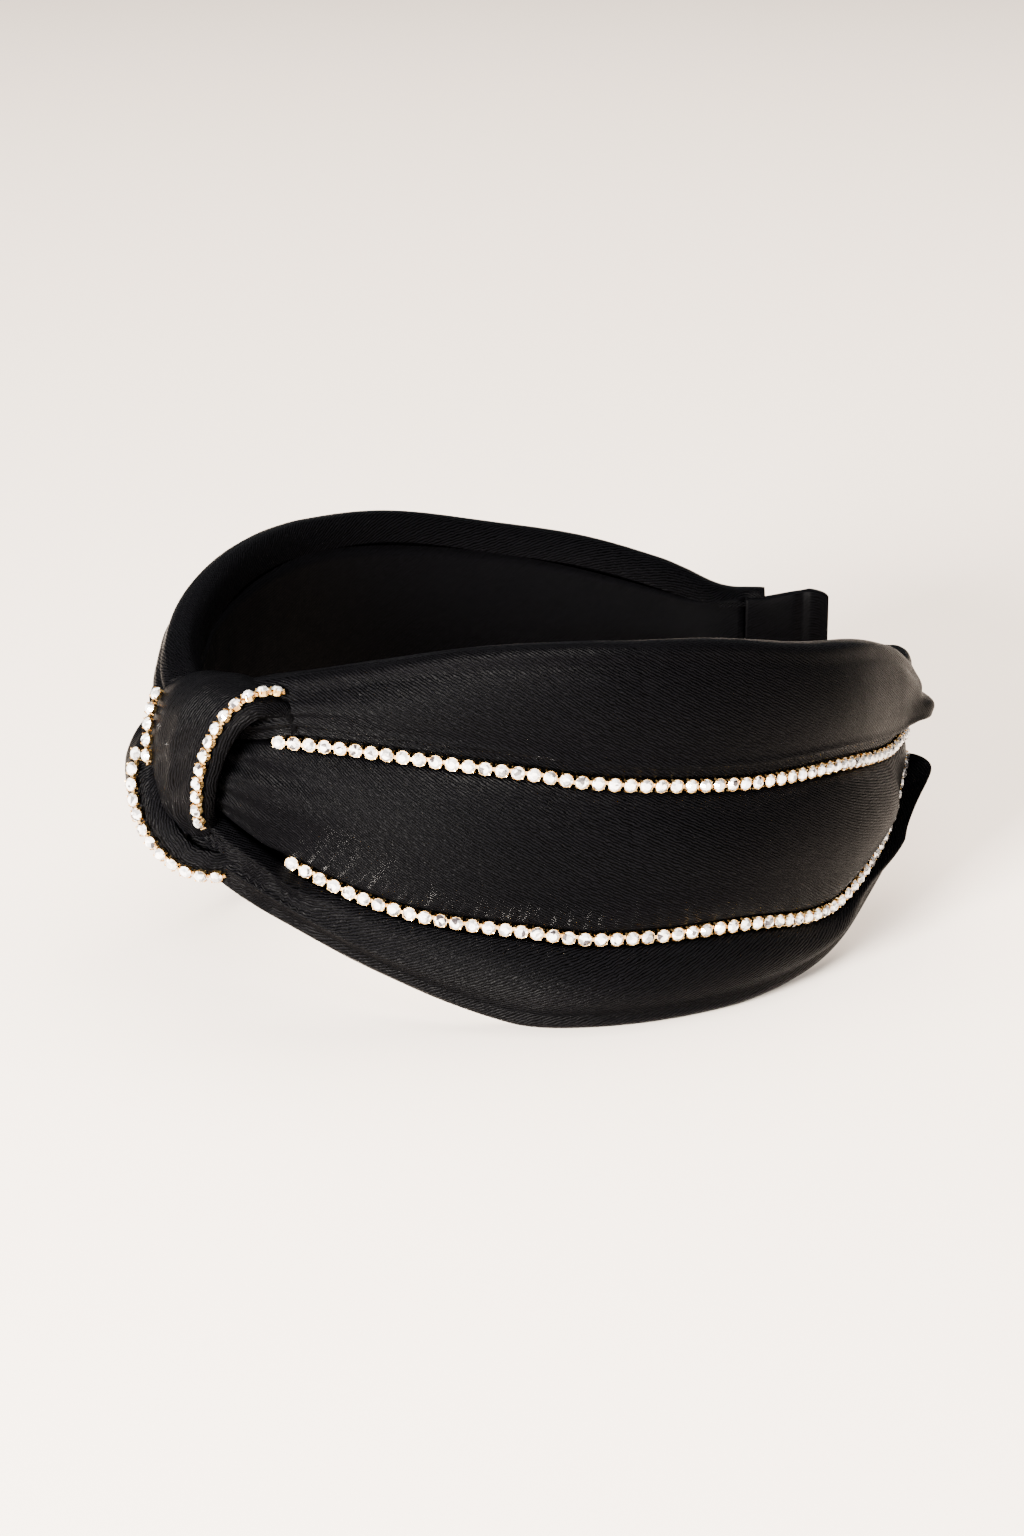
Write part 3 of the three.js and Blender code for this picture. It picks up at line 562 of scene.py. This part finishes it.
# from one tip over the knot to the other; around runs up the face that meets the head and down the back
def bandPlace(along, around):
    signed = mix(-1, 1, along)
    side = -1 if signed < 0 else 1
    share = abs(signed) * (tabStart - arm["gap"] / arm["length"])
    h = armHeights(share)
    low, high = h["bottom"] + h["rim"][-1], h["top"] - h["rim"][1]
    j = around * 2
    run = share * arm["length"]
    toTip = tabStart * arm["length"] - run
    if j <= 1:  # the face that meets the head
        z = mix(low, high, j)
        nearKnot = exp(-((run / band["knotReach"]) ** 2))
        nearKnot *= sin(run * band["knotAlongPerMm"] - z * band["knotUpPerMm"])
        nearTip = exp(-((toTip / band["tipReach"]) ** 2))
        nearTip *= sin(z * band["tipUpPerMm"] + run * band["tipAlongPerMm"])
        out = bandBack - (band["puffMm"] + band["creaseMm"] * (nearKnot + nearTip)) * sin(pi * j) ** 0.5
        return armPoint(side, share, out, z)
    return armPoint(side, share, bandFront, mix(high, low, j - 1))


lining = padMesh("innerBand", band["rows"], band["columns"], bandPlace, liningMaterial)
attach(lining, "root")
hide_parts("inner_band")
print("inner band made")

# The wrapped ends: flat, with rounded edges and a crease where the cloth is folded over the tip
tab = {
    "rows": 60, "columns": 56, "corner": 4, "cornerDrop": 2.6, "leastClosing": 0.02, "squareness": 0.28,
    "tipThin": 0.55, "skin": 0.15, "creaseMm": 0.5, "creaseShare": 0.968, "creaseWidth": 0.006,
    "creaseLeanPerMm": 0.0001,
}


def signedPower(value, power):
    return abs(value) ** power * (1 if value > 0 else -1)


# a wrapped end that rises by tipRise towards its tip
def tabPlace(side, tipRise):
    def place(along, around):
        share = mix(tabStart, 1, sin(along * pi / 2))
        closing = sqrt(clamp((1 - share) * arm["length"] / tab["corner"], tab["leastClosing"], 1))
        angle = around * 2 * pi
        rise = tipRise * max(share - panelEnd, 0) / (1 - panelEnd)
        half = arm["tabHeight"] / 2 - tab["cornerDrop"] * (1 - closing)
        z = arm["tabBottom"] + arm["tabHeight"] / 2 + rise + half * signedPower(sin(angle), tab["squareness"])
        thick = arm["tabThickness"] / 2 * mix(tab["tipThin"], 1, closing) - tab["skin"]
        fromCrease = share - tab["creaseShare"] - z * tab["creaseLeanPerMm"]
        crease = tab["creaseMm"] * exp(-(fromCrease / tab["creaseWidth"]) ** 2)
        away = (thick - crease) * signedPower(cos(angle), tab["squareness"])
        return armPoint(side, share, bandFront - arm["tabThickness"] / 2 + away, z)

    return place


for sideName, side, tipRise in (("right", 1, -1.5), ("left", -1, 2.5)):
    place = tabPlace(side, tipRise)
    wrapped = padMesh(f"{sideName}EndTab", tab["rows"], tab["columns"], place, liningMaterial)
    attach(wrapped, "root")
    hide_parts(f"{sideName}_end_tab")
print("end tabs made")

# The knot's two strips, given by their right and left edges: x in halves of the width, y in depths and z
# in heights, crown and thick in shares of the thickness
knot = {
    "width": 44, "depth": 14, "height": 38, "bottom": 25, "thickness": 6.5, "hem": 2.2, "rows": 150,
    "columns": 60, "rowInset": 0.07, "loopInset": 0.2, "probe": 0.02, "hemRounding": 0.045,
    "flatTuck": 0.35, "tuckFrom": 0.45, "pleatDrift": 1.3, "wrinklesAcross": 21, "wrinklesAlong": 46,
    "wrinklesTo": 0.8, "rollWidth": 0.016, "grooveWidth": 0.03,
}
wrapTable = [
    dict(rx=0.74, ry=1.00, rz=0.58, lx=-0.10, ly=0.72, lz=0.60, crown=0.10, thick=0.30),
    dict(rx=0.90, ry=0.92, rz=0.76, lx=-0.20, ly=0.50, lz=0.76, crown=0.30, thick=0.30),
    dict(rx=1.00, ry=0.70, rz=0.87, lx=-0.26, ly=0.20, lz=0.83, crown=0.60, thick=0.35),
    dict(rx=1.00, ry=0.38, rz=0.89, lx=-0.27, ly=-0.04, lz=0.81, crown=0.72, thick=0.50),
    dict(rx=0.93, ry=0.10, rz=0.83, lx=-0.24, ly=-0.20, lz=0.73, crown=0.66, thick=0.60),
    dict(rx=0.82, ry=-0.08, rz=0.70, lx=-0.19, ly=-0.30, lz=0.62, crown=0.55, thick=0.70),
    dict(rx=0.72, ry=-0.18, rz=0.53, lx=-0.12, ly=-0.36, lz=0.49, crown=0.45, thick=0.60),
    dict(rx=0.62, ry=-0.16, rz=0.37, lx=-0.02, ly=-0.36, lz=0.35, crown=0.35, thick=0.50),
    dict(rx=0.50, ry=0.02, rz=0.24, lx=0.16, ly=-0.22, lz=0.20, crown=0.20, thick=0.40),
]
underTable = [
    dict(rx=-0.16, ry=0.10, rz=0.68, lx=-0.56, ly=0.62, lz=0.70, crown=0.25, thick=0.30),
    dict(rx=-0.15, ry=-0.16, rz=0.56, lx=-0.74, ly=0.26, lz=0.60, crown=0.60, thick=0.50),
    dict(rx=-0.02, ry=-0.36, rz=0.41, lx=-0.80, ly=0.02, lz=0.45, crown=0.75, thick=0.70),
    dict(rx=0.16, ry=-0.42, rz=0.27, lx=-0.60, ly=-0.10, lz=0.27, crown=0.70, thick=0.70),
    dict(rx=0.34, ry=-0.32, rz=0.16, lx=-0.30, ly=-0.10, lz=0.11, crown=0.55, thick=0.60),
    dict(rx=0.50, ry=-0.10, rz=0.11, lx=0.00, ly=0.06, lz=0.01, crown=0.38, thick=0.45),
    dict(rx=0.62, ry=0.30, rz=0.10, lx=0.30, ly=0.48, lz=-0.02, crown=0.20, thick=0.30),
]
strips = {"wrap": wrapTable, "under": underTable}


# a point of a strip's left (l) or right (r) edge, in mm from the middle of the knot
@lru_cache(None)
def strapEdge(strip, side, along):
    at = lambda column: tableValue(strips[strip], side + column, along)
    height = at("z") * knot["height"] + knot["bottom"]
    return Vector((at("x") * knot["width"] / 2, at("y") * knot["depth"], height))


@lru_cache(None)
def strapSize(strip, column, along):
    return tableValue(strips[strip], column, along) * knot["thickness"]


def strapNormal(strip, along, across):
    middle = lambda share: strapEdge(strip, "l", share).lerp(strapEdge(strip, "r", share), across)
    forward = middle(min(along + knot["probe"], 1)) - middle(max(along - knot["probe"], 0))
    sideways = strapEdge(strip, "r", along) - strapEdge(strip, "l", along)
    return forward.cross(sideways).normalized()


def strapPoint(strip, along, across, lift):
    point = strapEdge(strip, "l", along).lerp(strapEdge(strip, "r", along), across)
    bulge = strapSize(strip, "crown", along) * sin(pi * across) ** panel["sharpness"]
    return point + strapNormal(strip, along, across) * (bulge + lift)


# Lengthwise pleats that deepen where the strip tucks in, slanting wrinkles across them, a roll along both
# edges, and a groove for the row of stones.
def strapRelief(look, along, across):
    tuck = mix(knot["flatTuck"], 1.0, abs(along - knot["tuckFrom"]) * 2)
    pleats = look["pleatMm"] * sin(across * look["pleats"] * pi + knot["pleatDrift"] * along * pi) * tuck
    wrinkles = look["wrinkleMm"] * sin(across * knot["wrinklesAcross"] + along * knot["wrinklesAlong"])
    wrinkles *= smoothStep(along, knot["tuckFrom"], knot["wrinklesTo"])
    roll = exp(-((min(across, 1 - across) - look["rollAt"]) / knot["rollWidth"]) ** 2)
    groove = exp(-((1 - across - look["rowAt"]) / knot["grooveWidth"]) ** 2)
    return (pleats + wrinkles) * sin(pi * across) + look["rollMm"] * roll - look["grooveMm"] * groove


# a strip as a closed pad: around runs over its outside and back underneath, with a rounded hem at each edge
def strapPlace(strip, look):
    def place(along, around):
        across = around * 2 if around < 0.5 else 2 - around * 2
        hem = knot["hem"]
        if around < 0.5:
            lift = strapRelief(look, along, across)
        else:
            lift = -mix(hem, max(strapSize(strip, "thick", along), hem), sin(pi * across))
        rounding = min(across, 1 - across) / knot["hemRounding"]
        if rounding < 1:
            lift = mix(-hem / 2, lift, sqrt(1 - (1 - max(rounding, 0)) ** 2))
        return toFrame(*strapPoint(strip, along, across, lift))

    return place


strapLooks = (
    dict(name="knotWrap", node="knot_wrap", strip="wrap", pleatMm=0.3, pleats=7, wrinkleMm=0.22, rollMm=0.45,
         rollAt=0.022, rowAt=0.07, grooveMm=0.3),
    dict(name="knotUnderLoop", node="knot_under_loop", strip="under", pleatMm=0.3, pleats=6, wrinkleMm=0.2,
         rollMm=0.7, rollAt=0.07, rowAt=0.2, grooveMm=0.6),
)
for look in strapLooks:
    place = strapPlace(look["strip"], look)
    strap = padMesh(look["name"], knot["rows"], knot["columns"] * 2, place, satinMaterial)
    finishPad(strap, look["node"])
print("knot made")

# Cup chain: every stone in its own cup with four claws, joined by short links
cup = {
    "pitch": 2.8, "radius": 1.24, "depth": 1.0, "taper": 0.78, "stoneRadius": 1.22, "stoneHeight": 0.6,
    "tableShare": 0.54, "facet": 0.17, "claws": 4, "claw": 0.16, "clawFoot": 1.25, "clawTip": 0.75,
    "clawHeight": 0.9, "clawAt": 1.02, "clawDrop": 0.1, "clawLean": -16, "link": 0.6, "linkDrop": 0.6,
}


# one cup with its claws, its link and its stone, which all stones of the chains are copies of
def cupTemplate():
    bm = bmesh.new()
    bmesh.ops.create_cone(bm, cap_ends=True, segments=12, radius1=cup["radius"] * cup["taper"] * mm,
                          radius2=cup["radius"] * mm, depth=cup["depth"] * mm,
                          matrix=Matrix.Translation((0, 0, -cup["depth"] / 2 * mm)))
    clawSpot = Matrix.Translation((cup["radius"] * cup["clawAt"] * mm, 0, -cup["clawDrop"] * mm))
    lean = Matrix.Rotation(radians(cup["clawLean"]), 4, "Y")
    for k in range(cup["claws"]):
        spot = Matrix.Rotation(pi / cup["claws"] + k * 2 * pi / cup["claws"], 4, "Z") @ clawSpot
        bmesh.ops.create_cone(bm, cap_ends=True, segments=6, radius1=cup["claw"] * cup["clawFoot"] * mm,
                              radius2=cup["claw"] * cup["clawTip"] * mm, depth=cup["clawHeight"] * mm,
                              matrix=spot @ lean)
    linkPlace = (cup["pitch"] / 2 * mm, 0, -cup["depth"] * cup["linkDrop"] * mm)
    bmesh.ops.create_cube(bm, size=cup["link"] * mm, matrix=Matrix.Translation(linkPlace))
    gold = list(bm.faces)
    made = bmesh.ops.create_cone(bm, cap_ends=True, segments=8, radius1=cup["stoneRadius"] * mm,
                                 radius2=cup["stoneRadius"] * cup["tableShare"] * mm,
                                 depth=cup["stoneHeight"] * mm,
                                 matrix=Matrix.Translation((0, 0, cup["stoneHeight"] / 2 * mm)))
    stone = set(made["verts"])
    table = {v for v in stone if v.co.z > 0}
    slants = [e for e in bm.edges if stone.issuperset(e.verts) and len(table.intersection(e.verts)) == 1]
    bmesh.ops.bevel(bm, geom=slants, offset=cup["facet"] * mm, affect="EDGES", segments=1, profile=0.5,
                    material=-1)
    for face in bm.faces:
        face.material_index = 0 if face in gold else 1
    mesh = bpy.data.meshes.new("cupTemplate")
    bm.to_mesh(mesh)
    bm.free()
    return mesh


cupMesh = cupTemplate()


# chain through given spots: (place, outwards, along) for each stone, in the frame
def stoneChain(name, spots, node):
    bm = bmesh.new()
    for place, outwards, along in spots:
        aside = outwards.cross(along).normalized()
        ahead = aside.cross(outwards).normalized()
        turn = Matrix.Rotation(random.uniform(-chain["turn"], chain["turn"]), 4, "Z")
        tiltX = Matrix.Rotation(random.uniform(-chain["tilt"], chain["tilt"]), 4, "X")
        tiltY = Matrix.Rotation(random.uniform(-chain["tilt"], chain["tilt"]), 4, "Y")
        basis = Matrix((ahead, aside, outwards)).transposed().to_4x4()
        before = len(bm.verts)
        bm.from_mesh(cupMesh)
        bm.verts.ensure_lookup_table()
        fresh = [bm.verts[i] for i in range(before, len(bm.verts))]
        stance = Matrix.Translation(place) @ basis @ (tiltX @ tiltY @ turn)
        bmesh.ops.transform(bm, matrix=stance, verts=fresh)
    mesh = bpy.data.meshes.new(name)
    bm.to_mesh(mesh)
    bm.free()
    mesh.materials.append(goldMaterial)
    mesh.materials.append(crystalMaterial)
    piece = bpy.data.objects.new(name, mesh)
    bpy.context.scene.collection.objects.link(piece)
    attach(piece, "root")
    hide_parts(node)


random.seed(7)
# where the arms' rows start and end, how far the stones stand out, and their random turn and tilt in
# radians; step and look are the small shares that a row is walked and aimed with
chain = {
    "stand": 0.35, "upperStart": 0.108, "lowerStart": 0.118, "end": 0.93, "knotLift": 1.3, "turn": 0.2,
    "tilt": 0.05, "step": 0.0005, "lookOnArm": 0.004, "lookOnKnot": 0.01,
}
# the loop's stones sit beside its padded roll and are turned away from it
loopFacing = Vector((0.8, -0.5, 0.3)) * 1.2


# walks a curve given by point(share) and gives the shares one pitch apart
def pitchShares(point, start, end, pitch):
    shares, last = [start], point(start)
    share = start
    while share < end:
        share += chain["step"]
        here = point(share)
        if (here - last).length >= pitch:
            shares.append(share)
            last = here
    return shares


for sideName, side in (("right", 1), ("left", -1)):
    for rowName in ("upper", "lower"):
        out = chain["stand"] - arm["seamDepth"]
        point = lambda share: armPoint(side, share, out, armHeights(share)[rowName])
        spots = []
        for share in pitchShares(point, chain[rowName + "Start"], chain["end"], cup["pitch"] * mm):
            place = point(share)
            outwards = (armPoint(side, share, out + 1, 0) - armPoint(side, share, out, 0)).normalized()
            along = (point(share + chain["lookOnArm"]) - point(share - chain["lookOnArm"])).normalized()
            spots.append((place, outwards, along))
        stoneChain(f"{sideName}{rowName.capitalize()}Chain", spots, f"{sideName}_{rowName}_chain")
        print(sideName, rowName, "stones", len(spots))

for name, node, strip, across, start, end in (
    ("knotRightChain", "knot_right_chain", "wrap", 1 - knot["rowInset"], 0.29, 0.9),
    ("knotLeftChain", "knot_left_chain", "wrap", knot["rowInset"], 0.44, 0.76),
    ("knotUnderChain", "knot_under_chain", "under", 1 - knot["loopInset"], 0.26, 0.92),
):
    point = lambda share: toFrame(*strapPoint(strip, clamp(share, 0, 1), across, chain["knotLift"]))
    spots = []
    for share in pitchShares(point, start, end, cup["pitch"] * mm):
        along = (point(share + chain["lookOnKnot"]) - point(share - chain["lookOnKnot"])).normalized()
        outwards = strapNormal(strip, share, across)
        if strip == "under":
            outwards = (outwards + loopFacing).normalized()
        spots.append((point(share), outwards, along))
    stoneChain(name, spots, node)
print("stones set")

# Pale floor, studio light and the photograph's camera
bpy.ops.mesh.primitive_plane_add(size=6, location=(0, 0, 0))
floor = bpy.context.object
floor.name = "floor"
# Pale matt paper: the even warm ground of the photograph.
floorMaterial, floorTree, floorShader = newMaterial("palePaper")
floorShader.inputs["Base Color"].default_value = colour("#f7ece0")
floorShader.inputs["Roughness"].default_value = 0.85
floor.data.materials.append(floorMaterial)

world = bpy.data.worlds.new("paleStudio")
world.use_nodes = True
world.node_tree.nodes["Background"].inputs["Color"].default_value = colour("#eef0f4")
world.node_tree.nodes["Background"].inputs["Strength"].default_value = 0.45
bpy.context.scene.world = world

# A low window in front, a weak fill, and a wide light from above that nothing mirrors; all three aim at
# the middle of the headband.
lights = [
    dict(name="windowLight", place=(0.66, -1.2, 0.27), size=0.42, power=315, tint="#fff8f0", mirrored=True),
    dict(name="fillLight", place=(0.9, -0.7, 1.2), size=0.4, power=12, tint="#f6f7ff", mirrored=True),
    dict(name="skyLight", place=(-0.2, 0.3, 2.0), size=2.4, power=170, tint="#fff1e4", mirrored=False),
]
lightAim = Vector((0, 0, 0.03))
for light in lights:
    data = bpy.data.lights.new(light["name"], "AREA")
    data.size = light["size"]
    data.energy = light["power"]
    data.color = colour(light["tint"])[:3]
    lamp = bpy.data.objects.new(light["name"], data)
    lamp.location = light["place"]
    lamp.rotation_euler = (lightAim - Vector(light["place"])).to_track_quat("-Z", "Y").to_euler()
    lamp.visible_glossy = light["mirrored"]
    bpy.context.scene.collection.objects.link(lamp)

# the camera looks at a point behind the knot (aimY, aimZ) from these angles in degrees, distance in metres
shot = {
    "azimuth": 59.81, "elevation": 18.13, "distance": 0.65, "focalPixels": 3465.65, "pictureHeight": 1536,
    "filmMm": 36, "aimY": 66.83, "aimZ": 31.89,
}
cameraData = bpy.data.cameras.new("camera")
cameraData.sensor_width = shot["filmMm"]
cameraData.lens = shot["focalPixels"] / shot["pictureHeight"] * shot["filmMm"]
camera = bpy.data.objects.new("camera", cameraData)
bpy.context.scene.collection.objects.link(camera)
around, above = radians(shot["azimuth"]), radians(shot["elevation"])
back = Vector((sin(around) * cos(above), -cos(around) * cos(above), sin(above)))
camera.location = toFrame(0, shot["aimY"], shot["aimZ"]) + back * shot["distance"]
camera.rotation_euler = back.to_track_quat("Z", "Y").to_euler()
bpy.context.scene.camera = camera

print("scene ready")
